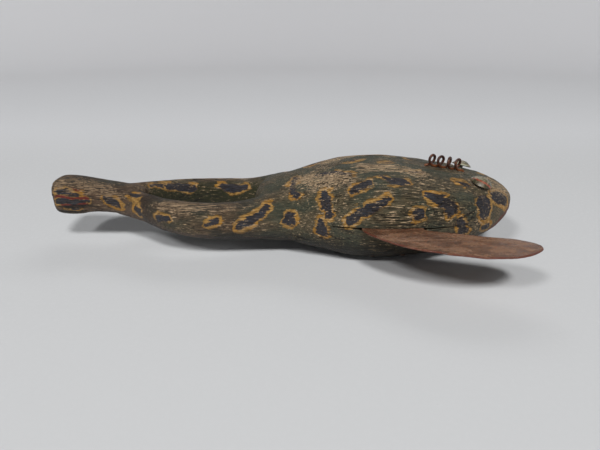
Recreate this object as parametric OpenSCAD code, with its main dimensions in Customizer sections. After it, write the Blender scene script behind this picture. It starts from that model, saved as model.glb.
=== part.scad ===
// Frog fish decoy for spearing through the ice: a carved and painted wooden frog in
// mid kick, with sheet metal front fins, tack eyes, a lead belly weight and a wire
// line tie on the head. Millimetres. +X points to the nose, +Z is up, the belly
// rests on Z = 0, the frog's right side is -Y, and the origin is under the middle.

/* [Body] */
// Length of the carving, from the toes to the nose
body_length = 206; // [180:1:240]
// Greatest width of the carving, across the belly
body_width = 63; // [56:1:72]
// Greatest height of the carving, from belly to back
body_height = 38.4; // [34:0.2:44]
// Distance between the middles of the legs, where they bow out most
leg_spread = 34; // [30:1:38]

/* [Fins] */
// Thickness of the sheet metal
sheet = 0.7; // [0.5:0.1:1]
// Length of a fin, along the body
fin_length = 62.5; // [50:0.5:70]
// Reach of a fin, out from its bend line
fin_reach = 26; // [20:0.5:31]
// Length of the edge that is held by the body
fin_root = 25; // [20:1:28]
// Depth of the fin inside the body
fin_depth = 11; // [8:0.5:13]
// Rise of the fin from the bend line outwards, in degrees
fin_rise = 4.5; // [0:0.5:8]
// Diameter of the brads that hold the fins
brad_d = 1.3; // [1:0.1:1.6]

/* [Line tie] */
// Thickness of the wire
wire_d = 1.05; // [0.8:0.05:1.3]
// Number of loops
loops = 4; // [2:1:5]
// Width of a loop, between the middles of the wire
loop_width = 5.1; // [4.4:0.1:5.6]
// Height of a loop, between the middles of the wire
loop_height = 4.6; // [4:0.1:5.4]

/* [Eyes] */
// Diameter of a tack head
eye_d = 10.4; // [8.5:0.1:12]
// Height of a tack head
eye_rise = 3.4; // [2.4:0.1:4]

/* [Ballast] */
// Length of the lead at the belly
lead_length = 42; // [34:1:44]
// Width of the lead at the belly
lead_width = 18; // [13:1:22]
// Depth of the lead
lead_depth = 11; // [8:0.5:14]

/* [Hidden] */
$fn = 48;
tiny = 0.01;
gap = 0.05;                             // clearance round a piece set in the wood

half_w = body_width / 2;

// Sections from tail to nose, all as shares: place along the body, half width, top,
// bottom, height of the widest line, and the squareness of the upper and lower half.
TORSO = [[0.44, 0.16, 0.58, 0.30, 0.44, 2.2, 2.2],
         [0.45, 0.40, 0.68, 0.24, 0.44, 2.3, 2.4],
         [0.47, 0.62, 0.74, 0.17, 0.44, 2.3, 2.6],
         [0.52, 0.75, 0.81, 0.095, 0.44, 2.2, 2.6],
         [0.58, 0.86, 0.91, 0.03, 0.46, 2.2, 2.7],
         [0.65, 0.97, 0.985, -0.025, 0.47, 2.2, 3.0],
         [0.73, 1.00, 1.00, -0.03, 0.47, 2.2, 3.0],
         [0.82, 0.93, 0.925, 0.005, 0.47, 2.6, 2.8],
         [0.89, 0.81, 0.86, 0.10, 0.47, 2.8, 2.5],
         [0.95, 0.61, 0.785, 0.24, 0.48, 2.7, 2.4],
         [0.983, 0.39, 0.71, 0.38, 0.51, 2.5, 2.2],
         [1.00, 0.15, 0.63, 0.49, 0.55, 2.2, 2.2]];
FOOT = [[0.000, 0.21, 0.755, 0.38, 0.56, 3.2, 3.2],
        [0.010, 0.26, 0.785, 0.36, 0.56, 3.2, 3.0],
        [0.045, 0.28, 0.78, 0.35, 0.55, 2.8, 2.8],
        [0.095, 0.27, 0.74, 0.38, 0.54, 2.6, 2.6],
        [0.150, 0.27, 0.69, 0.36, 0.52, 2.4, 2.4],
        [0.175, 0.25, 0.67, 0.34, 0.50, 2.3, 2.3],
        [0.195, 0.12, 0.62, 0.38, 0.50, 2.2, 2.2]];
// One leg: place along the body, middle as a share of half the leg spread, middle
// height, half width and half height as shares of half the body width and the height.
LEG = [[0.135, 0.12, 0.51, 0.16, 0.17],
       [0.195, 0.44, 0.485, 0.19, 0.175],
       [0.255, 0.82, 0.45, 0.22, 0.185],
       [0.335, 1.00, 0.415, 0.24, 0.205],
       [0.420, 0.91, 0.41, 0.27, 0.22],
       [0.500, 0.76, 0.44, 0.33, 0.295],
       [0.560, 0.70, 0.46, 0.35, 0.325]];

// Place along the X axis for a share of the body length, and the other way round.
function at(share) = (share - 0.5) * body_length;
function share_of(x) = x / body_length + 0.5;

// Smooth curve through a table of rows, whose first value is the place.
function row_slope(t, i) =
    let (a = max(i - 1, 0), b = min(i + 1, len(t) - 1))
    (t[b] - t[a]) / (t[b][0] - t[a][0]);
function row_before(t, s, i = 0) =
    i >= len(t) - 2 || s < t[i + 1][0] ? i : row_before(t, s, i + 1);
function along(t, s) =
    let (i = row_before(t, s), h = t[i + 1][0] - t[i][0], u = (s - t[i][0]) / h)
    (1 + 2 * u) * (1 - u) * (1 - u) * t[i] + u * u * (3 - 2 * u) * t[i + 1]
    + u * (1 - u) * (1 - u) * h * row_slope(t, i)
    - u * u * (1 - u) * h * row_slope(t, i + 1);

// Closed section in the plane at x: rounded when the squareness is 2, boxy above it.
function squared(c, e) = sign(c) * pow(abs(c), 2 / e);
function section(x, y, w, top, bottom, side, e_top, e_bottom, n) =
    [for (k = [0:n - 1])
        let (a = 360 * k / n, c = cos(a), s = sin(a), e = s < 0 ? e_bottom : e_top)
        [x, y + w * squared(c, e), side + (s < 0 ? side - bottom : top - side) * squared(s, e)]];
function block_section(r, n) =
    section(at(r[0]), 0, r[1] * half_w, r[2] * body_height, r[3] * body_height,
            r[4] * body_height, r[5], r[6], n);
function leg_section(r, side, n) =
    section(at(r[0]), side * r[1] * leg_spread / 2, r[3] * half_w,
            (r[2] + r[4]) * body_height, (r[2] - r[4]) * body_height,
            r[2] * body_height, 2, 2, n);

// Solid skin over rings of points, all with the same number of points.
module skin(rings) {
    n = len(rings[0]);
    m = len(rings);
    polyhedron(
        points = [for (r = rings) each r],
        faces = concat(
            [[for (k = [0:n - 1]) k]],
            [for (i = [0:m - 2], k = [0:n - 1])
                let (a = i * n + k, b = i * n + (k + 1) % n) each [[a, a + n, b], [b, a + n, b + n]]],
            [[for (k = [n - 1:-1:0]) (m - 1) * n + k]]));
}

// Places between the first and the last row of a table, in equal steps.
function steps(t, n) = [for (i = [0:n]) t[0][0] + (t[len(t) - 1][0] - t[0][0]) * i / n];

// Height of the back at a point seen from above, and its outward direction.
function back_z(x, y = 0) =
    let (r = along(TORSO, share_of(x)), e = r[5])
    body_height * (r[4] + (r[2] - r[4]) * pow(1 - pow(abs(y) / (r[1] * half_w), e), 1 / e));
function back_normal(x, y) =
    let (dx = back_z(x + 1, y) - back_z(x - 1, y), dy = back_z(x, y + 1) - back_z(x, y - 1))
    [-dx, -dy, 2] / norm([dx, dy, 2]);
function belly_z(x, y) =
    let (r = along(TORSO, share_of(x)), e = r[6])
    max(0, body_height * (r[4] - (r[4] - r[3]) * pow(1 - pow(abs(y) / (r[1] * half_w), e), 1 / e)));

// Move a child from the origin, standing on +Z, to a point and a direction.
module stand(p, dir) {
    translate(p) rotate([0, acos(dir.z), atan2(dir.y, dir.x)]) children();
}

// ---- Carved body -----------------------------------------------------------------

module torso() { skin([for (s = steps(TORSO, 44)) block_section(along(TORSO, s), 40)]); }
module leg(side) { skin([for (s = steps(LEG, 26)) leg_section(along(LEG, s), side, 22)]); }
module foot() { skin([for (s = steps(FOOT, 22)) block_section(along(FOOT, s), 28)]); }

// The carving before anything is cut into it. The resize keeps its own size, and
// makes the four overlapping blocks one piece.
module blank() {
    resize([0, 0, 0]) union() {
        torso();
        leg(-1);
        leg(1);
        foot();
    }
}

module carved_body() {
    color("darkolivegreen") difference() {
        blank();
        translate([-body_length, -body_width, -10]) cube([2 * body_length, 2 * body_width, 10]);
        for (side = [-1, 1]) {
            kerf(side);
            eye_hole(side);
            for (x = brad_xs) brad(side, x, gap);
        }
        ballast(gap, 1);
        wire(tie_path(), wire_d + 2 * gap, 10);
    }
}

// ---- Ballast ---------------------------------------------------------------------

lead_x = at(0.70);                      // middle of the lead, near the deepest belly
lead_lip = 3;                           // height of the narrower mouth
lead_undercut = 1.6;                    // how far the pocket widens behind the mouth
lead_shy = 0.4;                         // how far the lead stays back from the belly

// Rounded block, wider inside than at its mouth, so that the poured lead is locked in.
module ballast(extra, below) {
    translate([lead_x, 0, lead_shy - below])
        slab(lead_length + 2 * extra, lead_width + 2 * extra, lead_lip + below + tiny, 4);
    translate([lead_x, 0, lead_shy + lead_lip - extra])
        slab(lead_length + 2 * (lead_undercut + extra), lead_width + 2 * (lead_undercut + extra),
             lead_depth - lead_lip - lead_shy + 2 * extra, 5);
}

// Flat block with four round corners, standing on Z = 0 and centred in X and Y.
module slab(length, width, height, corner) {
    linear_extrude(height) {
        square([length - 2 * corner, width], center = true);
        square([length, width - 2 * corner], center = true);
        for (x = [-1, 1], y = [-1, 1])
            translate([x * (length / 2 - corner), y * (width / 2 - corner)]) circle(corner);
    }
}

module lead_ballast() { color("dimgray") ballast(0, 0); }

// ---- Fins ------------------------------------------------------------------------

fin_z = 0.47 * body_height;             // height of the saw kerf, on the widest line
bend_y = half_w + 0.6;                  // distance of the bend line from the middle
fin_x = at(0.66);                       // rear end of the bend line
kerf_x0 = fin_x - 12;                   // the saw cut runs past the fin at both ends
kerf_x1 = fin_x + fin_root + 14;
kerf_in = half_w - fin_depth;           // bottom of the saw cut
brad_y = half_w - 0.65 * fin_depth;     // line of the brads
brad_xs = [fin_x + 0.25 * fin_root, fin_x + 0.75 * fin_root];

// Point on a curve with two end points and two points that pull it.
function pull(p, t) =
    pow(1 - t, 3) * p[0] + 3 * t * pow(1 - t, 2) * p[1] + 3 * t * t * (1 - t) * p[2]
    + pow(t, 3) * p[3];

// Leaf outline, from the rear end of the bend line to the tip and back again: x runs
// forward along the bend line, y outwards from it.
fin_tip = [0.99, 0.80];
FIN_OUTER = [[0, 0], [0.10, 0.86], [0.76, 1.45], fin_tip];
FIN_INNER = [fin_tip, [1.08, 0.37], [0.72, 0.31], [fin_root / fin_length, 0]];
function fin_outline() =
    [for (p = concat([for (i = [0:24]) pull(FIN_OUTER, i / 24)],
                     [for (i = [1:20]) pull(FIN_INNER, i / 20)]))
        [p.x * fin_length, p.y * fin_reach]];

module kerf(side) {
    y = side > 0 ? kerf_in : -kerf_in - body_width;
    translate([kerf_x0, y, fin_z - sheet / 2 - 2 * gap])
        cube([kerf_x1 - kerf_x0, body_width, sheet + 4 * gap]);
}

// The part of the sheet inside the saw kerf, up to the bend line.
module fin_in_kerf(side) {
    inner = kerf_in + 0.3;
    width = bend_y - sheet / 2 - 0.1 - inner;
    difference() {
        translate([fin_x, side > 0 ? inner : -inner - width, fin_z - sheet / 2])
            cube([fin_root, width, sheet]);
        for (x = brad_xs) brad(side, x, gap);
    }
}

// The part of the sheet outside the body, which bends about its round inner edge.
module fin_blade(side) {
    translate([fin_x, side * bend_y, fin_z]) mirror([0, side > 0 ? 0 : 1, 0]) rotate([fin_rise, 0, 0]) {
        linear_extrude(sheet, center = true) polygon(fin_outline());
        rotate([0, 90, 0]) cylinder(d = sheet, h = fin_root);
    }
}

module right_fin_root() { color("saddlebrown") fin_in_kerf(-1); }
module right_fin() { color("sienna") fin_blade(-1); }
module left_fin_root() { color("saddlebrown") fin_in_kerf(1); }
module left_fin() { color("sienna") fin_blade(1); }

// ---- Brads -----------------------------------------------------------------------

brad_above = 5;                         // length of a brad above the sheet
brad_head = 0.8;

// Brad driven up from the belly, through the sheet. The head sits in the wood.
module brad(side, x, extra) {
    y = side * brad_y;
    z0 = belly_z(x, brad_y) + 0.6;
    translate([x, y, z0 - (extra > 0 ? 4 : 0)])
        cylinder(d = 2.2 * brad_d + 2 * extra, h = brad_head + (extra > 0 ? 4 : 0));
    translate([x, y, z0]) cylinder(d = brad_d + 2 * extra, h = fin_z + brad_above - z0);
    translate([x, y, fin_z + brad_above - tiny])
        cylinder(d1 = brad_d + 2 * extra, d2 = 0.2, h = 1.5 * brad_d + extra);
}

module right_front_brad() { color("dimgray") brad(-1, brad_xs[1], 0); }
module right_rear_brad() { color("dimgray") brad(-1, brad_xs[0], 0); }
module left_front_brad() { color("dimgray") brad(1, brad_xs[1], 0); }
module left_rear_brad() { color("dimgray") brad(1, brad_xs[0], 0); }

// ---- Eyes ------------------------------------------------------------------------

eye_x = at(0.913);
eye_y = 0.41 * half_w;
eye_seat = 0.25;                        // depth of the flat seat under a tack head
eye_shell = 0.6;                        // thickness of the domed head
shank_d = 1.7;
shank = 11;
eye_dir = back_normal(eye_x, eye_y);

module at_eye(side) {
    mirror([0, side > 0 ? 0 : 1, 0])
        stand([eye_x, eye_y, back_z(eye_x, eye_y)] - eye_seat * eye_dir, eye_dir) children();
}

module eye_hole(side) {
    at_eye(side) {
        cylinder(d = eye_d + 0.8, h = 6);
        translate([0, 0, -shank - 1]) cylinder(d = shank_d + 2 * gap, h = shank + 2);
    }
}

// Upholstery tack: a thin domed head over a pointed shank.
module tack() {
    r = (pow(eye_d / 2, 2) + pow(eye_rise, 2)) / (2 * eye_rise);
    difference() {
        translate([0, 0, eye_rise - r]) sphere(r);
        translate([0, 0, eye_rise - r]) sphere(r - eye_shell);
        translate([-r - 1, -r - 1, -2 * r - 1]) cube(2 * r + 2 - tiny);
        translate([-r - 1, -r - 1, -2 * r - 1]) cube([2 * r + 2, 2 * r + 2, 2 * r + 1 + gap]);
    }
    translate([0, 0, 1 - shank]) cylinder(d = shank_d, h = shank + eye_rise - 1.2 - eye_shell / 2);
    translate([0, 0, -shank]) cylinder(d1 = 0.3, d2 = shank_d, h = 1 + tiny);
}

module right_eye_tack() { color("darkgoldenrod") at_eye(-1) tack(); }
module left_eye_tack() { color("darkgoldenrod") at_eye(1) tack(); }

// ---- Line tie --------------------------------------------------------------------

tie_x0 = at(0.816);                     // rear prong, on the middle of the head
prong = 7;                              // depth of a prong in the wood
tie_sink = 0.2;                         // how deep the wire has bitten into the back
loop_gap = 0.1;                         // clear space where the wire passes itself
loop_w = loop_width / 2;
loop_pitch = (loop_width + wire_d + loop_gap) / 1.6;
tie_x1 = tie_x0 + loops * loop_pitch;   // front prong
// The least twist at which the two legs of a loop pass each other, and how much more
// than that each loop is twisted, in degrees.
least_twist = asin((wire_d + loop_gap) / (0.64 * loop_width));
LOOP_TURN = [for (more = [4, 0, 24, 6, 8]) least_twist + more];

// Twist of the wire after a turn of t degrees, easing from one loop to the next.
function twist(t) =
    let (c = max(0, min(loops - 1, t / 360 - 0.5)), i = min(floor(c), loops - 1),
         j = min(i + 1, loops - 1), u = (1 - cos(180 * (c - i))) / 2)
    LOOP_TURN[i] * (1 - u) + LOOP_TURN[j] * u;

// Height of the middle of the wire where it lies along the back.
function tie_z(x) = back_z(x) + wire_d / 2 - tie_sink;

// Middle of the wire: it runs forward along the head and rises into a loop each turn.
function tie_point(t) =
    let (x = tie_x0 + loop_pitch * t / 360)
    [x + loop_w * cos(twist(t)) * sin(t), loop_w * sin(twist(t)) * sin(t),
     tie_z(x) + loop_height / 2 * (1 - cos(t))];
function tie_path() =
    let (z0 = tie_z(tie_x0), z1 = tie_z(tie_x1), r = wire_d)
    concat([[tie_x0 - r, 0, z0 - prong]],
           [for (a = [0:30:90]) [tie_x0 - r * cos(a), 0, z0 - r + r * sin(a)]],
           [for (t = [15:15:360 * loops - 15]) tie_point(t)],
           [for (a = [90:-30:0]) [tie_x1 + r * cos(a), 0, z1 - r + r * sin(a)]],
           [[tie_x1 + r, 0, z1 - prong]]);

function unit(v) = v / norm(v);

// Round wire along a path, with one ring of points square to it at each point.
module wire(path, d, n) {
    last = len(path) - 1;
    skin([for (i = [0:last])
        let (t = unit(path[min(i + 1, last)] - path[max(i - 1, 0)]),
             a = twist(360 * (path[i].x - tie_x0) / loop_pitch),
             u = unit(cross(t, [-sin(a), cos(a), 0])), v = cross(t, u))
        [for (k = [0:n - 1]) path[i] + d / 2 * (cos(360 * k / n) * u + sin(360 * k / n) * v)]]);
}

module line_tie() { color("maroon") wire(tie_path(), wire_d, 10); }

// ---- Pieces ----------------------------------------------------------------------

carved_body();
lead_ballast();
right_fin_root();
right_fin();
left_fin_root();
left_fin();
right_front_brad();
right_rear_brad();
left_front_brad();
left_rear_brad();
right_eye_tack();
left_eye_tack();
line_tie();
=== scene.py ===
"""Looks of the frog fish decoy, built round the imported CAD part.

Worn leopard frog paint on carved wood, rusty sheet fins, painted tack eyes and a rusty wire line tie.
The frame is in metres: +X points to the nose, +Y to the frog's left and +Z up, and the belly rests on
Z = 0. Points and sizes in the tables and functions below are in millimetres in the same frame.
"""

import math

import bmesh
import bpy
import numpy as np
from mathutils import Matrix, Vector
from mathutils.bvhtree import BVHTree
from mathutils.kdtree import KDTree


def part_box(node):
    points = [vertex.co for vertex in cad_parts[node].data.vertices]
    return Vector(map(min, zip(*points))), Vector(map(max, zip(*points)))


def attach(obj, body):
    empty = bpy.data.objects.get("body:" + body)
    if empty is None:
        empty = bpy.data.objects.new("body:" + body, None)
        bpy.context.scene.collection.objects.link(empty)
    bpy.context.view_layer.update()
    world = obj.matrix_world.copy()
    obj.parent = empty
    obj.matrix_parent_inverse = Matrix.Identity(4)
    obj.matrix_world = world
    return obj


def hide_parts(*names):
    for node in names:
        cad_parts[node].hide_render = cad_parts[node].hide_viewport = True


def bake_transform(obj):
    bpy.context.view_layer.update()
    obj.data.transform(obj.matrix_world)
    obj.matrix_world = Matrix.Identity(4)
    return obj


MM = 0.001

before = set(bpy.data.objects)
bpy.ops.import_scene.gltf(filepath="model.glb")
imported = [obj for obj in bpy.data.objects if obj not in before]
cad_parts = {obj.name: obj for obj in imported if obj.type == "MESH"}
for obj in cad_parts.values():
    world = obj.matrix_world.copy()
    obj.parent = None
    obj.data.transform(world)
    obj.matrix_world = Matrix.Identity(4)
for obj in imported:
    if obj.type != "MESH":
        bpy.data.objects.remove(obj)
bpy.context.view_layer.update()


# ---- Driving sizes, from the frame -----------------------------------------------------


def node_box(name):
    """Lowest and highest corner of a CAD node, in millimetres."""
    low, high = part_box(name)
    return np.array(low) / MM, np.array(high) / MM


# The saw cut runs past both ends of the fin and a little past its inner edge.
KERF_PAST_REAR = 12
KERF_PAST_FRONT = 14
KERF_PAST_ROOT = 0.3

body_high = node_box("carved_body")[1]
root_low, root_high = node_box("left_fin_root")
kerf_z = (root_low[2] + root_high[2]) / 2
sheet = root_high[2] - root_low[2]
kerf_in = root_low[1] - KERF_PAST_ROOT
kerf_start = root_low[0] - KERF_PAST_REAR
kerf_end = root_high[0] + KERF_PAST_FRONT
bend_y = root_high[1] + 0.1 + sheet / 2


# ---- Noise ------------------------------------------------------------------------------


def value_noise(p, seed):
    """Smooth noise from 0 to 1, with one random value at each whole-number point."""
    cell = np.floor(p).astype(np.int64)
    part = p - cell
    part = part * part * (3 - 2 * part)
    total = np.zeros(len(p))
    for corner in range(8):
        pick = np.array([corner & 1, corner >> 1 & 1, corner >> 2])
        c = cell + pick
        mixed = (c[:, 0] * 73856093) ^ (c[:, 1] * 19349663) ^ (c[:, 2] * 83492791) ^ (seed * 2654435)
        mixed = ((mixed ^ (mixed >> 13)) * 1274126177) & 0xFFFFFFFF
        mixed = (mixed ^ (mixed >> 16)) & 0xFFFF
        total += mixed / 65535 * np.prod(np.where(pick, part, 1 - part), axis=1)
    return total


def lumps(p, size, seed, octaves=3):
    """Noise from about -1 to 1, with lumps of the given size along x, y and z."""
    q = p / np.array(size, float)
    return sum((value_noise(q * 2**i, seed + i) * 2 - 1) * 0.5**i for i in range(octaves))


def rise(value, low, high):
    """0 below low, 1 above high, smooth between them."""
    t = np.clip((value - low) / (high - low), 0, 1)
    return t * t * (3 - 2 * t)


# ---- Mesh helpers -----------------------------------------------------------------------


def places(obj):
    """Vertex places of a mesh object, in millimetres."""
    flat = np.empty(len(obj.data.vertices) * 3)
    obj.data.vertices.foreach_get("co", flat)
    return flat.reshape(-1, 3) / MM


def directions(obj):
    """Vertex normals of a mesh object."""
    flat = np.empty(len(obj.data.vertices) * 3)
    obj.data.vertex_normals.foreach_get("vector", flat)
    return flat.reshape(-1, 3)


def move_to(obj, p):
    """Put the vertices at these places, in millimetres."""
    obj.data.vertices.foreach_set("co", (p * MM).ravel())
    obj.data.update()


def store(obj, name, values):
    """Keep one number per vertex for the materials to read."""
    attribute = obj.data.attributes.new(name, "FLOAT", "POINT")
    attribute.data.foreach_set("value", values.astype(np.float32))


def apply_modifiers(obj):
    """Turn what the modifiers make of an object into its mesh."""
    graph = bpy.context.evaluated_depsgraph_get()
    made = bpy.data.meshes.new_from_object(obj.evaluated_get(graph))
    obj.modifiers.clear()
    obj.data = made


def new_piece(name, mesh):
    """Put a mesh into the scene as an object."""
    obj = bpy.data.objects.new(name, mesh)
    bpy.context.scene.collection.objects.link(obj)
    return obj


def copy_nodes(name, *nodes):
    """A new object with copies of these CAD nodes in one mesh."""
    both = bmesh.new()
    for node in nodes:
        both.from_mesh(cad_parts[node].data)
    mesh = bpy.data.meshes.new(name)
    both.to_mesh(mesh)
    both.free()
    return new_piece(name, mesh)


def add_strip(obj, rings):
    """Add a closed bar over rings of four points to the mesh of an object."""
    work = bmesh.new()
    work.from_mesh(obj.data)
    made = [[work.verts.new(Vector(p) * MM) for p in ring] for ring in rings]
    for a, b in zip(made, made[1:]):
        for k in range(4):
            work.faces.new([a[k], a[(k + 1) % 4], b[(k + 1) % 4], b[k]])
    work.faces.new(made[0][::-1])
    work.faces.new(made[-1])
    bmesh.ops.recalc_face_normals(work, faces=work.faces)
    work.to_mesh(obj.data)
    work.free()


def as_clay(obj, voxel, smoothing):
    """Turn a mesh into one even skin of small squares, and soften its corners."""
    skin = obj.modifiers.new("skin", "REMESH")
    skin.mode = "VOXEL"
    skin.voxel_size = voxel * MM
    skin.use_smooth_shade = True
    soft = obj.modifiers.new("soft", "SMOOTH")
    soft.factor = 0.5
    soft.iterations = smoothing
    apply_modifiers(obj)


def push(obj, amount):
    """Move each vertex out along its normal by an amount in millimetres."""
    move_to(obj, places(obj) + directions(obj) * amount[:, None])


def take_place(obj, body, slot, *nodes):
    """The piece stands for these CAD nodes: hide them and put the piece on their body. The slot argument
    is not used.
    """
    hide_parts(*nodes)
    if body:
        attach(obj, body)


# ---- Materials --------------------------------------------------------------------------


def tone(red, green, blue):
    """Colour from 0 to 255 steps, as the shader's linear values."""
    steps = [c / 255 for c in (red, green, blue)]
    return tuple(c / 12.92 if c < 0.04 else ((c + 0.055) / 1.055) ** 2.4 for c in steps) + (1.0,)


class Shader:
    """One node material, with short names for the nodes it is made of."""

    def __init__(self, name, metallic=0.0, specular=0.5):
        self.material = bpy.data.materials.new(name)
        self.material.use_nodes = True
        self.tree = self.material.node_tree
        self.surface = self.tree.nodes["Principled BSDF"]
        self.surface.inputs["Metallic"].default_value = metallic
        self.surface.inputs["Specular IOR Level"].default_value = specular

    def add(self, kind, inputs, **settings):
        node = self.tree.nodes.new("ShaderNode" + kind)
        for key, value in settings.items():
            setattr(node, key, value)
        for key, value in inputs.items():
            self.feed(node, key, value)
        return node

    def feed(self, node, key, value):
        if isinstance(value, bpy.types.NodeSocket):
            self.tree.links.new(value, node.inputs[key])
        else:
            node.inputs[key].default_value = value

    def place(self, size, shift=0.0):
        """Object coordinates, divided by a size in millimetres along x, y and z."""
        where = self.add("TexCoord", {}).outputs["Object"]
        scale = tuple(1 / MM / s for s in size)
        moved = (shift, shift * 1.7, shift * 2.3)
        sums = self.add("VectorMath", {0: where, 1: scale, 2: moved}, operation="MULTIPLY_ADD")
        return sums.outputs[0]

    def noise(self, size, detail=4.0, rough=0.55, shift=0.0, warp=0.0):
        values = {"Vector": self.place(size, shift), "Scale": 1.0, "Detail": detail,
                  "Roughness": rough, "Distortion": warp}
        return self.add("TexNoise", values).outputs["Fac"]

    def stored(self, name):
        return self.add("Attribute", {}, attribute_name=name).outputs["Fac"]

    def calc(self, operation, a, b=0.0, c=0.0):
        return self.add("Math", {0: a, 1: b, 2: c}, operation=operation).outputs[0]

    def rise(self, value, low, high, top=1.0):
        """0 where the value is at low, top where it is at high, smooth between them."""
        values = {"Value": value, "From Min": low, "From Max": high, "To Max": top}
        return self.add("MapRange", values, interpolation_type="SMOOTHSTEP").outputs[0]

    def mix(self, share, a, b):
        node = self.add("Mix", {0: share, 6: a, 7: b}, data_type="RGBA")
        return node.outputs[2]

    def finish(self, colour, roughness, height, depth):
        """Connect colour, roughness and a bump whose full height is depth millimetres."""
        bump = self.add("Bump", {"Height": height, "Distance": depth * MM, "Strength": 1.0})
        self.feed(self.surface, "Base Color", colour)
        self.feed(self.surface, "Roughness", roughness)
        self.feed(self.surface, "Normal", bump.outputs["Normal"])
        return self.material


def wood_grain(s):
    """The noises that all layers of the painted wood share, so that they wear together."""
    return {
        "fibre": s.noise((6, 0.32, 0.32), detail=5, rough=0.68),
        "streak": s.noise((4, 0.6, 0.6), detail=5, rough=0.65, shift=7.1, warp=0.3),
        "patch": s.noise((14, 8, 8), detail=3, rough=0.6, shift=3.3),
        "blot": s.noise((3.2, 1.6, 1.6), detail=4, rough=0.65, shift=5.7),
        "speck": s.noise((0.9, 0.55, 0.55), detail=3, rough=0.65, shift=11.9),
    }


def bare_wood(s, g):
    """Old softwood under the paint, darker on the legs."""
    wood = s.mix(s.rise(g["fibre"], 0.36, 0.64), tone(96, 74, 52), tone(206, 178, 142))
    wood = s.mix(s.rise(g["blot"], 0.45, 0.7, 0.6), wood, tone(136, 118, 92))
    return s.mix(s.calc("MULTIPLY", s.stored("brown"), 0.6), wood, tone(98, 78, 60))


def ground_paint(s, g):
    """Olive ground coat and brown on the legs, with dark olive as painted shade between the legs and under
    the flanks.
    """
    ground = s.mix(s.rise(g["patch"], 0.4, 0.6), tone(64, 68, 54), tone(92, 80, 58))
    ground = s.mix(s.rise(g["blot"], 0.46, 0.68, 0.55), ground, tone(104, 94, 70))
    earth = s.mix(s.rise(g["patch"], 0.42, 0.58), tone(54, 41, 31), tone(94, 72, 54))
    ground = s.mix(s.stored("brown"), ground, earth)
    # Dark olive here is painted shade between the legs and low on the flanks.
    ground = s.mix(s.stored("inner"), ground, tone(46, 48, 24))
    ground = s.mix(s.rise(g["streak"], 0.56, 0.66, 0.4), ground, tone(122, 108, 80))
    ground = s.mix(s.rise(g["streak"], 0.44, 0.34, 0.5), ground, tone(36, 35, 25))
    return s.mix(s.rise(g["fibre"], 0.52, 0.38, 0.8), ground, tone(28, 27, 19))


def frog_pattern(s, g, in_spot, ragged):
    """Ochre rings, blue-black spots, pale specks and red lines over the ground coat."""
    ochre = s.mix(s.rise(g["streak"], 0.38, 0.62), tone(116, 84, 36), tone(186, 144, 78))
    ochre = s.mix(s.rise(g["patch"], 0.5, 0.6, 0.7), ochre, tone(176, 124, 38))
    spot = s.mix(s.rise(g["fibre"], 0.4, 0.66), tone(17, 22, 33), tone(46, 54, 66))
    in_ring = s.rise(s.calc("SUBTRACT", ragged, s.stored("ring")), 0.25, -0.25, 0.95)
    paint = s.mix(in_ring, ground_paint(s, g), ochre)
    paint = s.mix(in_spot, paint, spot)
    paint = s.mix(s.rise(g["speck"], 0.6, 0.7, 0.3), paint, tone(128, 112, 84))
    near_red = s.calc("MULTIPLY_ADD", s.calc("SUBTRACT", g["speck"], 0.5), 0.9, s.stored("red"))
    return s.mix(s.rise(near_red, 0.3, 0.0, 0.95), paint, tone(106, 34, 27))


def drying_cracks(s, g):
    """Thin cracks along the grain, where the wood is driest."""
    cracks = s.noise((13, 1.3, 1.1), detail=3, rough=0.5, shift=15.0, warp=0.2)
    cracks = s.rise(s.calc("ABSOLUTE", s.calc("SUBTRACT", cracks, 0.5)), 0.022, 0.004)
    dry = s.calc("MULTIPLY_ADD", s.calc("SUBTRACT", g["patch"], 0.5), 2.0, s.stored("dry"))
    return s.calc("MULTIPLY", cracks, s.rise(dry, 0.05, 0.5))


def worn_through(s, g, in_spot):
    """1 where the paint is rubbed off down to the wood."""
    worn = s.calc("MULTIPLY_ADD", g["fibre"], 0.45, s.calc("MULTIPLY", g["streak"], 0.55))
    worn = s.calc("MULTIPLY_ADD", s.calc("SUBTRACT", g["patch"], 0.5), 0.22, worn)
    worn = s.calc("MULTIPLY_ADD", s.stored("wear"), 0.12, worn)
    worn = s.calc("MULTIPLY_ADD", in_spot, -0.025, worn)
    worn = s.calc("MULTIPLY_ADD", s.calc("SUBTRACT", g["speck"], 0.5), 0.25, worn)
    return s.rise(worn, 0.572, 0.622)


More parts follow.
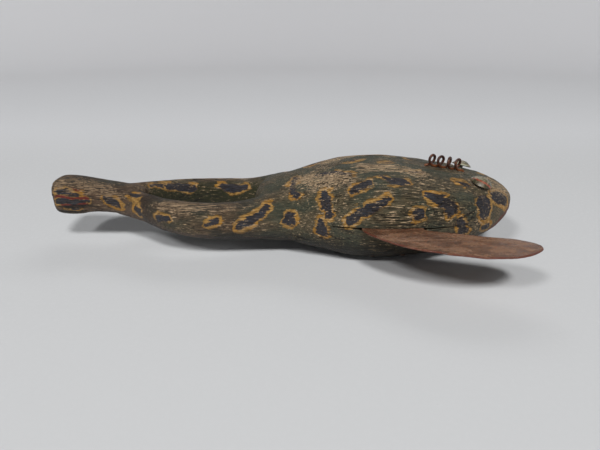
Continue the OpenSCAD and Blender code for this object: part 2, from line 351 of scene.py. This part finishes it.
def painted_wood():
    """Carved softwood under worn leopard frog paint, with dirt in the grain, dirt and painted shade in the
    cracks, and painted shade low on the flanks.
    """
    s = Shader("worn_frog_paint", specular=0.35)
    g = wood_grain(s)
    ragged = s.calc("MULTIPLY_ADD", s.calc("SUBTRACT", g["streak"], 0.5), 3.0, s.stored("spot"))
    ragged = s.calc("MULTIPLY_ADD", s.calc("SUBTRACT", g["speck"], 0.5), 1.6, ragged)
    in_spot = s.rise(ragged, 0.25, -0.25, 0.95)
    cracks = drying_cracks(s, g)
    bare = worn_through(s, g, in_spot)

    colour = s.mix(bare, frog_pattern(s, g, in_spot, ragged), bare_wood(s, g))
    # Dirt in the grain plus the stored shade: painted shade in the cracks and low on the flanks, and
    # darker grain on the legs.
    grain_dirt_and_shade = s.calc("MULTIPLY_ADD", s.calc("SUBTRACT", 0.5, g["fibre"]), 1.2, s.stored("shade"))
    colour = s.mix(s.rise(grain_dirt_and_shade, 0.06, 0.5, 0.92), colour, tone(24, 19, 12))
    # Dark crack lines: dirt and painted shade inside the thin cracks.
    colour = s.mix(s.calc("MULTIPLY", cracks, 0.85), colour, tone(24, 18, 13))

    height = s.calc("MULTIPLY_ADD", g["speck"], 0.25, s.calc("MULTIPLY", g["fibre"], 1.3))
    height = s.calc("MULTIPLY_ADD", g["streak"], 0.5, height)
    height = s.calc("MULTIPLY_ADD", bare, -0.12, height)
    height = s.calc("MULTIPLY_ADD", cracks, -0.7, height)
    gloss = s.rise(s.calc("ADD", g["fibre"], bare), 0.3, 1.6, 0.9)
    return s.finish(colour, s.calc("MAXIMUM", gloss, 0.52), height, 0.75)


def cut_wood():
    """Dark, dirty end of the wood inside a saw cut or crack."""
    s = Shader("dark_cut_wood", specular=0.2)
    fibre = s.noise((5, 0.5, 0.5), detail=4)
    rust = s.noise((6, 3, 3), shift=4.0)
    colour = s.mix(s.rise(fibre, 0.3, 0.7), tone(20, 15, 11), tone(48, 36, 25))
    colour = s.mix(s.rise(rust, 0.5, 0.75, 0.6), colour, tone(84, 42, 26))
    return s.finish(colour, s.rise(fibre, 0.2, 0.9, 0.95), fibre, 0.3)


def rusty_sheet():
    """Sheet metal with old red-brown paint, lengthwise scratches, rust and a dark red rim."""
    s = Shader("rusty_fin_sheet", metallic=0.0, specular=0.25)
    scratch = s.noise((14, 0.7, 6), detail=5, rough=0.7, warp=0.4)
    cloud = s.noise((9, 5, 5), detail=5, rough=0.65, shift=2.0)
    pit = s.noise((1.1, 0.8, 0.8), detail=4, rough=0.7, shift=6.0)
    grit = s.noise((0.8, 0.45, 0.45), detail=3, shift=9.0)
    colour = s.mix(s.rise(cloud, 0.38, 0.62), tone(86, 60, 45), tone(134, 100, 76))
    colour = s.mix(s.rise(scratch, 0.55, 0.68, 0.8), colour, tone(152, 124, 108))
    colour = s.mix(s.rise(scratch, 0.46, 0.34, 0.75), colour, tone(66, 42, 32))
    colour = s.mix(s.rise(pit, 0.54, 0.66, 0.7), colour, tone(126, 66, 38))
    colour = s.mix(s.rise(pit, 0.47, 0.33, 0.9), colour, tone(44, 30, 24))
    colour = s.mix(s.rise(grit, 0.58, 0.7, 0.5), colour, tone(62, 40, 32))
    edge = s.calc("MULTIPLY_ADD", s.calc("SUBTRACT", pit, 0.5), 0.8, s.stored("rim"))
    colour = s.mix(s.rise(edge, 0.15, 0.85, 0.85), colour, tone(92, 46, 34))
    height = s.calc("MULTIPLY_ADD", pit, 1.0, s.calc("MULTIPLY", grit, 0.35))
    height = s.calc("MULTIPLY_ADD", scratch, 0.5, height)
    return s.finish(colour, s.rise(cloud, 0.2, 1.1, 0.8), height, 0.3)


def rusty_wire():
    """Dark rusted iron wire, more orange near the wood."""
    s = Shader("rusty_wire", metallic=0.15, specular=0.4)
    pit = s.noise((0.6, 0.6, 0.6), detail=5, rough=0.7)
    cloud = s.noise((2.5, 2.5, 2.5), detail=3, shift=3.0)
    colour = s.mix(s.rise(pit, 0.35, 0.7), tone(38, 22, 18), tone(78, 44, 30))
    colour = s.mix(s.rise(cloud, 0.45, 0.7, 0.7), colour, tone(112, 62, 34))
    colour = s.mix(s.rise(s.stored("low"), 0.1, 0.9, 0.55), colour, tone(132, 76, 40))
    return s.finish(colour, s.rise(pit, 0.1, 0.9, 0.75), pit, 0.12)


def painted_eye():
    """Domed tack with worn grey-green paint and a red line, brown paint with painted shade below the line,
    and a painted highlight as a pale rim above.
    """
    s = Shader("worn_eye_paint", specular=0.5)
    cloud = s.noise((2.2, 2.2, 2.2), detail=4, rough=0.6)
    pit = s.noise((0.7, 0.7, 0.7), detail=4, rough=0.65, shift=5.0)
    colour = s.mix(s.rise(cloud, 0.38, 0.62), tone(84, 84, 68), tone(126, 116, 94))
    colour = s.mix(s.rise(pit, 0.6, 0.75, 0.8), colour, tone(150, 132, 108))
    line = s.calc("MULTIPLY_ADD", s.calc("SUBTRACT", pit, 0.5), 1.2, s.stored("line"))
    # Pale rim on the upper back of the dome: a painted highlight.
    colour = s.mix(s.rise(s.stored("rim"), 0.2, 0.9, 0.8), colour, tone(158, 160, 138))
    # Brown below the red line: brown paint darkened with painted shade on the lower side of the dome.
    skirt = s.mix(s.rise(cloud, 0.4, 0.6), tone(56, 54, 40), tone(86, 74, 52))
    colour = s.mix(s.rise(s.stored("below"), 0.1, 0.9, 0.95), colour, skirt)
    colour = s.mix(s.rise(line, 0.25, -0.25, 0.8), colour, tone(142, 62, 42))
    colour = s.mix(s.rise(pit, 0.4, 0.25, 0.7), colour, tone(52, 44, 36))
    return s.finish(colour, s.rise(cloud, 0.1, 1.0, 0.7), pit, 0.12)


def plain_metal(name, dark, light, metallic, size):
    """Dull metal with stains and small dents."""
    s = Shader(name, metallic=metallic, specular=0.5)
    cloud = s.noise((size, size, size), detail=5, rough=0.6)
    dent = s.noise((size / 3, size / 3, size / 3), detail=4, rough=0.6, shift=3.0)
    colour = s.mix(s.rise(cloud, 0.35, 0.65), dark, light)
    return s.finish(colour, s.rise(dent, 0.0, 0.9, 0.75), dent, 0.15)


# ---- Where the paint goes ---------------------------------------------------------------

# Blue-black spots on the right side. Each is a chain of balls, x, y, z and radius, laid along the spot;
# the same spots are laid on the left side a little further forward or back.
FLANK_SPOTS = [
    [(29, -23, 31, 1.4), (32, -22, 33, 2.0), (36, -20, 34, 1.6)],
    [(41, -17, 36, 0.8), (46, -20, 35, 1.8), (51, -20, 34, 2.0)],
    [(18, -21, 30, 1.6), (18.5, -24, 27, 2.4), (19.5, -27, 23, 1.6)],
    [(16, -27, 20, 1.8), (17.5, -27, 15, 2.1)],
    [(28, -30, 21, 1.8), (34, -29, 25.5, 2.2), (40, -28, 28, 1.6), (44, -27, 30, 1.0)],
    [(55.5, -30, 24, 2.8)],
    [(60, -25, 30.5, 1.6), (64, -26, 29, 2.4), (69, -27, 26, 2.8), (68.5, -28, 23.5, 1.6)],
    [(74.5, -15, 33, 1.1), (77.5, -16, 32, 1.7)],
    [(84, -22, 26, 3.7), (84.5, -23.5, 22.5, 3.1)],
    [(91, -17, 27, 3.0), (95, -15, 24.5, 2.5)],
    [(73.5, -27.5, 20.5, 1.8), (75.5, -27, 15.5, 2.1)],
    [(86, -23, 16, 1.9)],
    [(4, -23, 19, 2.9)],
    [(-31, -24.5, 17, 1.0), (-26, -24, 19, 1.2)],
    [(-17, -24, 16.5, 1.9), (-12, -23, 19, 2.1), (-8, -22, 22, 1.7), (-6, -20.5, 24, 1.3)],
    [(-52, -20, 18, 1.7), (-47.5, -21.5, 18.5, 1.5)],
    [(-63, -13.5, 20, 1.7), (-62, -14, 17.5, 1.3)],
    [(-78, -8, 23, 1.3), (-75.5, -8.5, 21, 2.2), (-74, -8.5, 20, 1.8)],
]
# Spots on the back and on the insides of the legs, which aren't repeated.
BACK_SPOTS = [
    [(16, -9, 34, 1.3), (23, -10.5, 35.5, 1.3), (29, -14, 35.5, 1.1)],
    [(55, -12.5, 36.5, 0.8), (60, -11, 36, 0.9)],
    [(30, -2, 37.5, 1.1), (34.5, 1, 38, 1.1)],
    [(43, -4, 38.5, 0.7), (47.5, -4, 38, 0.7)],
    [(6, -5.5, 31.5, 1.3), (4.5, -11.5, 30, 1.1), (6.5, -18, 27.5, 1.7)],
    [(12, 8, 34, 1.5), (17, 11, 35, 1.8)],
    [(40, 10, 37.5, 1.9), (46, 12, 37, 1.5)],
    [(58, 7, 37, 1.6)],
    [(3, 14, 28, 1.8), (7, 17, 29, 1.4)],
    [(93, 3, 30, 1.6), (96, 5, 28, 1.2)],
    [(-67, -7.5, 25, 0.9), (-63.5, -10, 24.5, 1.3)],
    [(-62, 5, 24.5, 0.9), (-57.5, 7, 24, 0.9)],
    [(-55, 8, 23, 1.7), (-48.5, 9.5, 22, 2.2), (-44, 10, 21.5, 1.9)],
    [(-30, 12, 21.5, 1.7), (-25, 10.5, 21, 2.4), (-19, 10, 22, 1.9)],
]
# Toe stripes on the right side of the foot, repeated on the left, with red between them.
TOE_SPOTS = [
    [(-99.5, -7.5, 25.5, 1.1), (-96, -8, 25.5, 1.3), (-90, -8.5, 24.5, 0.8)],
    [(-100, -8, 21, 1.2), (-96, -8.5, 21.5, 1.8), (-90, -8.5, 21.5, 1.2), (-86, -8.5, 21.5, 0.8)],
    [(-97, -8.5, 18.5, 0.7), (-92, -8.5, 18, 0.8)],
]
TOE_LINES = [
    [(-100, -8, 23.4, 0.5), (-94, -8.5, 23.7, 0.7), (-87, -8.5, 22.9, 0.5)],
    [(-99, -8.5, 19.4, 0.3), (-93, -8.5, 19.4, 0.6), (-87, -8.5, 20.3, 0.5)],
    [(-96, -7, 26.8, 0.2), (-90, -7.5, 26.4, 0.3)],
]
# Red line on the dome of an eye: forward and outward from its middle, a zero, and half its width.
EYE_LINE = [(-3.9, -1.2, 0, 0.2), (-2.6, 1.4, 0, 0.35), (-0.7, 2.7, 0, 0.4), (2.7, 3.2, 0, 0.35)]
# Height of the red mouth line at a few places along the snout.
MOUTH = [(86, 11), (92, 15.5), (96, 18.5), (100, 21), (103, 22)]
# Places that hands and years have rubbed down to the wood, as chains of balls.
RUBBED = [
    [(8, -9, 33, 3), (16, -15, 34, 5), (26, -15, 35, 4)],
    [(82, -13, 33, 2.0), (88, -11, 31, 5.0), (93, -8, 29.5, 6.0), (98, -6, 27, 4.0)],
    [(-70, -12, 24, 1.0), (-55, -18.5, 24, 0.8), (-35, -21, 23.5, 0.6), (-15, -20, 24, 0.4)],
    [(-98, -4, 28.5, 4.0), (-90, -4, 28.5, 4.0), (-80, -5, 27, 2.5), (-74, -9, 25, 2.0)],
    [(20, 6, 36.5, 3), (34, 12, 36.5, 4), (48, 8, 37.5, 3)],
    [(-66, 11, 24, 1.5), (-40, 19, 23.5, 2.0), (-15, 20, 24, 1.5)],
    [(30, 0, 0, 10), (55, 0, 0, 8)],
    [(34, -9, 37, 2.5), (58, -12, 36, 3)],
]


def mirrored(chain, shift=0.0):
    """The same chain of balls on the left side, moved forward by shift."""
    return [(x + shift, -y, z, r) for x, y, z, r in chain]


def distance_to(p, chains):
    """Distance from each point to the nearest chain of balls, negative inside it."""
    best = np.full(len(p), 1e3)
    for chain in chains:
        rows = np.array(chain, float)
        pairs = zip(rows, rows[1:]) if len(rows) > 1 else [(rows[0], rows[0] + 1e-3)]
        for a, b in pairs:
            step = b[:3] - a[:3]
            t = np.clip((p - a[:3]) @ step / (step @ step), 0, 1)
            nearest = a[:3] + t[:, None] * step
            best = np.minimum(best, np.linalg.norm(p - nearest, axis=1) - a[3] - t * (b[3] - a[3]))
    return best


def wobbly(p):
    """The same points, moved a little so that brush edges aren't smooth."""
    moved = p.copy()
    moved[:, 0] += 0.9 * lumps(p, (5, 1.2, 1.2), 40) + 0.5 * lumps(p, (3, 3, 3), 41)
    moved[:, 1] += 0.5 * lumps(p, (3, 3, 3), 42)
    moved[:, 2] += 0.6 * lumps(p, (3, 3, 3), 43)
    return moved


def ring_width(p):
    """Width of the ochre ring round a spot: wide on the snout, broken on the legs, whole on the toes."""
    behind = rise(p[:, 0], 5, -30)
    width = 1.35 + 1.1 * lumps(p, (7, 5, 5), 50, 2) - 0.2 * behind + 0.4 * rise(p[:, 0], 76, 84)
    width = width * rise(lumps(p, (8, 5, 5), 52, 2) - 0.15 * behind, -0.55, -0.2)
    return np.where(p[:, 0] < -84, np.maximum(width, 0.8), width)


def store_pattern(body, p):
    """Store on each vertex how far it is from the spots and red lines, and the ring's width there."""
    brush = wobbly(p)
    shifts = [3 * math.sin(2.7 * i + 1) for i in range(len(FLANK_SPOTS))]
    spots = FLANK_SPOTS + [mirrored(c, s) for c, s in zip(FLANK_SPOTS, shifts)] + BACK_SPOTS
    toes = TOE_SPOTS + [mirrored(c) for c in TOE_SPOTS]
    spot = np.minimum(distance_to(brush, spots), distance_to(brush, toes))
    lines = TOE_LINES + [mirrored(c) for c in TOE_LINES]
    mouth = np.abs(brush[:, 2] - np.interp(p[:, 0], *zip(*MOUTH))) - 0.8 + rise(p[:, 0], 90, 86)
    red = np.minimum(distance_to(brush, lines), mouth)
    store(body, "spot", np.clip(spot, -8, 8))
    store(body, "ring", np.clip(ring_width(p), 0, 3))
    store(body, "red", np.clip(red, -8, 8))


def store_wear(body, p, cracks):
    """Store on each vertex how rubbed and dry it is, where the ground coat changes, and how much painted
    shade it gets: in the cracks (with dirt), low on the flanks and between the legs.
    """
    behind = rise(p[:, 0], 5, -30)
    # low: 1 towards the bottom of the flanks, where painted shade darkens the paint.
    low = rise(p[:, 2], 19, 4) * rise(p[:, 0], -45, -15)
    rubbed = rise(distance_to(p, RUBBED), 4.0, -2.0) + 0.25 * lumps(p, (20, 8, 8), 54, 2)
    between = rise(p[:, 0], -8, -14) * rise(p[:, 0], -72, -64) * rise(np.abs(p[:, 1]), 20, 16)
    facing_in = rise(-directions(body)[:, 1] * np.sign(p[:, 1]), 0.1, 0.6)
    head_side = rise(p[:, 0], 34, 50) * rise(p[:, 0], 88, 76) * rise(np.abs(p[:, 2] - 21), 9, 4)
    store(body, "wear", np.clip(rubbed, -0.6, 1.2))
    # shade: dirt and painted shade in the cracks, painted shade low on the flanks, and darker grain on the
    # legs.
    store(body, "shade", np.clip(cracks + 0.5 * low + 0.1 * behind, 0, 1))
    store(body, "brown", behind * np.clip(0.75 + 0.6 * lumps(p, (16, 8, 8), 56, 2), 0, 1))
    # inner: dark olive painted shade on the faces between the legs and low on the flanks.
    store(body, "inner", np.maximum(0.85 * between * facing_in, 0.6 * low))
    store(body, "dry", head_side + 0.25 * rise(p[:, 2], 20, 30))


# ---- Carved body ------------------------------------------------------------------------


def side_of_body(tree, x, side):
    """Distance of the side of the carving from the middle, just above the saw cut."""
    start = Vector((x, side * 60, kerf_z + 0.7)) * MM
    hit = tree.ray_cast(start, Vector((0, -side, 0)))[0]
    return abs(hit.y) / MM


def close_kerf(body, side):
    """Fill the straight saw cut, so that a rough one can be cut in its place."""
    tree = BVHTree.FromObject(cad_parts["carved_body"], bpy.context.evaluated_depsgraph_get())
    over = 0.6
    inner = kerf_in - over
    low, high = kerf_z - 0.7, kerf_z + 0.7
    rings = []
    for x in np.linspace(kerf_start - over, kerf_end + over, 80):
        outer = side_of_body(tree, x, side) - 0.03
        rings.append([(x, side * inner, low), (x, side * outer, low),
                      (x, side * outer, high), (x, side * inner, high)])
    add_strip(body, rings)


def rough_slot(side, seed):
    """Bar with the shape of the sawn and cracked slot that the fin sits in."""
    inner = kerf_in - 0.4
    outer = bend_y + 8
    start, end = root_low[0], root_high[0]
    rings = []
    for x in np.linspace(kerf_start - 4, kerf_end + 4, 120):
        spot = np.array([[x, 0, 0]])
        ends = rise(x, kerf_start - 4, kerf_start + 5) * rise(x, kerf_end + 4, kerf_end - 5)
        room = rise(x, start - 1.5, start - 0.6) * rise(x, end + 1.5, end + 0.6)
        up = 0.06 + 0.2 * ends * (1 + float(lumps(spot, (2.5, 1, 1), seed)[0])) + 0.3 * room
        down = 0.04 + 0.12 * ends * (1 + float(lumps(spot, (3.5, 1, 1), seed + 5)[0])) + 0.36 * room
        drift = 0.35 * float(lumps(spot, (12, 1, 1), seed + 9)[0]) * (1 - room)
        low, high = kerf_z + drift - down, kerf_z + drift + up
        rings.append([(x, side * inner, low), (x, side * outer, low),
                      (x, side * outer, high), (x, side * inner, high)])
    slot = new_piece("slot", bpy.data.meshes.new("slot"))
    add_strip(slot, rings)
    slot.data.materials.append(MATERIALS["cut"])
    return slot


def cut_away(obj, cutter):
    """Cut one object out of another, and keep the cutter's material on the cut."""
    tool = obj.modifiers.new("cut", "BOOLEAN")
    tool.operation = "DIFFERENCE"
    tool.solver = "EXACT"
    tool.material_mode = "TRANSFER"
    tool.object = cutter
    apply_modifiers(obj)
    bpy.data.objects.remove(cutter)


def crack_depth(p):
    """0 to 1: long weathered cracks along the grain, most of them on the sides of the head."""
    bent = p + 0.8 * lumps(p, (14, 6, 6), 60, 2)[:, None]
    thin = 1 - np.abs(lumps(bent, (30, 2.2, 1.5), 61, 2)) / 0.16
    where = rise(p[:, 0], 36, 54) * rise(p[:, 0], 86, 74) * rise(np.abs(p[:, 2] - 22), 6.5, 3)
    sparse = rise(lumps(p, (22, 8, 8), 63, 2), 0.15, 0.5)
    return np.clip(thin, 0, 1) * np.clip(where + 0.6 * sparse, 0, 1)


def carve(body):
    """Knife facets, raised grain and cracks."""
    p = places(body)
    facets = np.abs(lumps(p, (13, 8, 8), 20, 2))
    grain = lumps(p + 0.5 * lumps(p, (10, 4, 4), 24)[:, None], (16, 1.5, 1.5), 21, 2)
    cracks = crack_depth(p)
    amount = 0.35 * (facets - 0.35) + 0.1 * grain - 0.5 * cracks
    near_kerf = rise(np.abs(p[:, 2] - kerf_z), 1.2, 0.4) * rise(np.abs(p[:, 1]), 18, 21)
    eyes = rise(np.linalg.norm(np.abs(p) - EYE_SEAT, axis=1), 5, 7)
    amount *= rise(p[:, 2], 0.1, 1.6) * eyes * (1 - 0.7 * near_kerf)
    push(body, amount)


def make_body():
    """The carving: an even skin over the CAD body, carved, sawn and painted."""
    body = copy_nodes("frog_body", "carved_body")
    for side in (-1, 1):
        close_kerf(body, side)
    as_clay(body, 0.57, 5)
    carve(body)
    body.data.materials.clear()
    body.data.materials.append(MATERIALS["wood"])
    for side in (-1, 1):
        cut_away(body, rough_slot(side, 70 + side))
    p = places(body)
    store_pattern(body, p)
    store_wear(body, p, crack_depth(p))
    body.data.set_sharp_from_angle(angle=math.radians(50))
    take_place(body, "frog", "painted_wood", "carved_body")


# ---- Fins -------------------------------------------------------------------------------


def inset(p, on_edge):
    """Distance of each point from the cut edge of the sheet, where every third point is enough."""
    edge = p[on_edge][::3]
    tree = KDTree(len(edge))
    for i, point in enumerate(edge):
        tree.insert(point, i)
    tree.balance()
    return np.array([tree.find(point)[2] for point in p])


def make_fin(side, name):
    """One sheet from the bottom of the saw cut to the tip, a little wavy from being bent by hand."""
    fin = copy_nodes(name + "_sheet", name + "_root", name)
    as_clay(fin, 0.27, 3)
    p = places(fin)
    out = rise(side * p[:, 1], bend_y + 1, bend_y + 8)
    p[:, 2] += out * (0.3 * lumps(p * (1, 1, 0), (22, 12, 1), 80, 2) + 0.12 * lumps(p, (6, 5, 5), 83, 2))
    tip = rise(p[:, 0], 80, 97)
    p[:, 2] += 0.5 * tip * rise(side * p[:, 1], 44, 54)
    move_to(fin, p)
    push(fin, 0.03 * lumps(p, (1.2, 1.2, 1.2), 85, 2))
    p = places(fin)
    past_bend = rise(side * p[:, 1], bend_y + 0.5, bend_y + 2)
    rim = rise(inset(p, np.abs(directions(fin)[:, 2]) < 0.4), 1.3, 0.3)
    rim = np.maximum(rim, 0.5 * tip) * past_bend
    store(fin, "rim", rim * (0.75 + 0.4 * lumps(p, (4, 2, 2), 87, 2)))
    fin.data.materials.clear()
    fin.data.materials.append(MATERIALS["fin"])
    take_place(fin, None, "fin_sheet", name + "_root", name)
    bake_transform(fin)


# ---- Eyes -------------------------------------------------------------------------------


def eye_axis(node):
    """The point of a tack's shank, and the direction from there up to the top of its dome."""
    flat = np.array([v.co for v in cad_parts[node].data.vertices]) / MM
    point = flat[np.argmin(flat[:, 2])]
    up = flat.mean(axis=0) - point
    return point, up / np.linalg.norm(up)


def make_eye(node):
    """Hammered tack: a red line on its outer side, brown paint with painted shade past it, and a painted
    highlight on the rim opposite.
    """
    eye = copy_nodes(node + "_painted", node)
    as_clay(eye, 0.17, 2)
    p = places(eye)
    point, up = eye_axis(node)
    push(eye, 0.07 * lumps(p, (2.4, 2.4, 2.4), 90, 2) + 0.02 * lumps(p, (0.7, 0.7, 0.7), 92, 2))
    along = (p - point) @ up
    radial = p - point - along[:, None] * up
    reach = np.linalg.norm(radial, axis=1)
    side = np.sign(point[1])
    flat = np.stack([radial[:, 0], side * radial[:, 1], 0 * reach, 0 * reach], axis=1)
    inward = (radial[:, 0] + side * radial[:, 1]) / np.maximum(reach, 0.1)
    edge = reach.max()
    store(eye, "line", distance_to(flat[:, :3], [EYE_LINE]))
    skirt = [(-5.2, -4)] + [row[:2] for row in EYE_LINE] + [(5.2, 3.6)]
    # below: the lower side of the dome past the red line, brown paint with painted shade.
    store(eye, "below", rise(flat[:, 1] - np.interp(flat[:, 0], *zip(*skirt)), 0.1, 0.6))
    # rim: where the pale painted highlight goes on the upper back of the dome.
    store(eye, "rim", rise(reach, 0.84 * edge, 0.95 * edge) * rise(inward, -0.3, -0.9))
    eye.data.materials.clear()
    eye.data.materials.append(MATERIALS["eye"])
    take_place(eye, "frog", "eye_tack", node)


# ---- Line tie ---------------------------------------------------------------------------


def make_wire():
    """Pitted wire, rustier where it lies along the sloping top of the head."""
    wire = copy_nodes("line_tie_wire", "line_tie")
    as_clay(wire, 0.13, 2)
    p = places(wire)
    push(wire, 0.09 + 0.04 * lumps(p, (0.8, 0.8, 0.8), 95, 2))
    top_of_head = (body_high[2] - 2.6) - 0.19 * (p[:, 0] - 64)
    store(wire, "low", rise(p[:, 2], top_of_head + 2.2, top_of_head))
    wire.data.materials.clear()
    wire.data.materials.append(MATERIALS["wire"])
    take_place(wire, "frog", "wire", "line_tie")


# ---- Stage, camera and lights -----------------------------------------------------------


def make_stage():
    """Round dish: a flat pale floor that curves up into a wall; the floor is a little darker near the
    camera and lighter far back, and the wall darkens with height, as painted light and shade on the
    backdrop.
    """
    profile = [(0.0, 0.0), (0.2, 0.0), (0.5, 0.0), (0.9, 0.0)]
    profile += [(0.9 + 0.5 * math.sin(a), 0.5 - 0.5 * math.cos(a)) for a in np.radians(range(10, 91, 10))]
    profile += [(1.4, 1.0)]
    turns = 72
    points = []
    for reach, height in profile:
        for k in range(turns):
            angle = 2 * math.pi * k / turns
            points.append((reach * math.cos(angle), reach * math.sin(angle), height))
    faces = []
    for i in range(len(profile) - 1):
        for k in range(turns):
            n = (k + 1) % turns
            faces.append((i * turns + k, i * turns + n, (i + 1) * turns + n, (i + 1) * turns + k))
    mesh = bpy.data.meshes.new("studio_floor")
    mesh.from_pydata(points, [], faces)
    mesh.polygons.foreach_set("use_smooth", [True] * len(mesh.polygons))
    floor = new_piece("studio_floor", mesh)
    s = Shader("studio_paper", specular=0.2)
    paper = s.noise((2, 2, 2), detail=2)
    axes = s.add("SeparateXYZ", {0: s.place((1, 1, 1))}).outputs
    # Floor lighter far back and wall darker with height: painted light and painted shade on the backdrop.
    colour = s.mix(s.rise(axes["Y"], 90.0, 260.0), tone(196, 197, 198), tone(206, 207, 209))
    colour = s.mix(s.rise(axes["Y"], 350.0, 1100.0), colour, tone(214, 214, 216))
    colour = s.mix(s.rise(axes["Z"], 160.0, 420.0), colour, tone(140, 140, 142))
    mesh.materials.append(s.finish(colour, s.rise(paper, 0.0, 0.6, 0.9), paper, 0.02))


def make_camera():
    """Camera low in front of the frog's right side, looking 24 degrees down."""
    data = bpy.data.cameras.new("camera")
    data.sensor_width = 36
    data.lens = 27.06
    data.clip_start = 0.01
    camera = bpy.data.objects.new("camera", data)
    camera.location = Vector((8, -196, 93.5)) * MM
    camera.rotation_euler = (math.radians(90 - 24), 0, 0)
    bpy.context.scene.collection.objects.link(camera)
    bpy.context.scene.camera = camera


def add_light(name, place, width, height, power):
    """Soft light, aimed at the middle of the frog."""
    data = bpy.data.lights.new(name, "AREA")
    data.shape = "RECTANGLE"
    data.size = width
    data.size_y = height
    data.energy = power
    light = bpy.data.objects.new(name, data)
    light.location = place
    light.rotation_euler = (-Vector(place)).to_track_quat("-Z", "Y").to_euler()
    bpy.context.scene.collection.objects.link(light)


def make_lights():
    """Two soft lights in front, a weak wide one behind, and a dim room."""
    add_light("window_front", (0.28, -1.45, 1.9), 0.4, 0.4, 41)
    add_light("window_left", (-1.15, -1.4, 1.85), 0.4, 0.4, 27)
    add_light("fill_behind", (0.4, 1.7, 1.3), 1.6, 1.2, 14)
    world = bpy.data.worlds.new("soft_room")
    world.use_nodes = True
    world.node_tree.nodes["Background"].inputs["Color"].default_value = (1.0, 1.0, 1.0, 1.0)
    world.node_tree.nodes["Background"].inputs["Strength"].default_value = 0.02
    bpy.context.scene.world = world
    bpy.context.scene.view_settings.view_transform = "Standard"


# ---- Build ------------------------------------------------------------------------------

MATERIALS = {
    "wood": painted_wood(),
    "cut": cut_wood(),
    "fin": rusty_sheet(),
    "wire": rusty_wire(),
    "eye": painted_eye(),
    "lead": plain_metal("dull_lead", tone(70, 72, 76), tone(112, 114, 118), 0.6, 3.0),
    "iron": plain_metal("dark_iron", tone(48, 38, 32), tone(92, 66, 50), 0.5, 1.2),
}
eye_point, eye_up = eye_axis("left_eye_tack")
EYE_SEAT = eye_point + 11 * eye_up

make_body()
make_fin(-1, "right_fin")
make_fin(1, "left_fin")
make_eye("right_eye_tack")
make_eye("left_eye_tack")
make_wire()

for node, material in [("lead_ballast", "lead"), ("right_front_brad", "iron"), ("right_rear_brad", "iron"),
                       ("left_front_brad", "iron"), ("left_rear_brad", "iron")]:
    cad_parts[node].data.materials.clear()
    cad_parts[node].data.materials.append(MATERIALS[material])

make_stage()
make_camera()
make_lights()
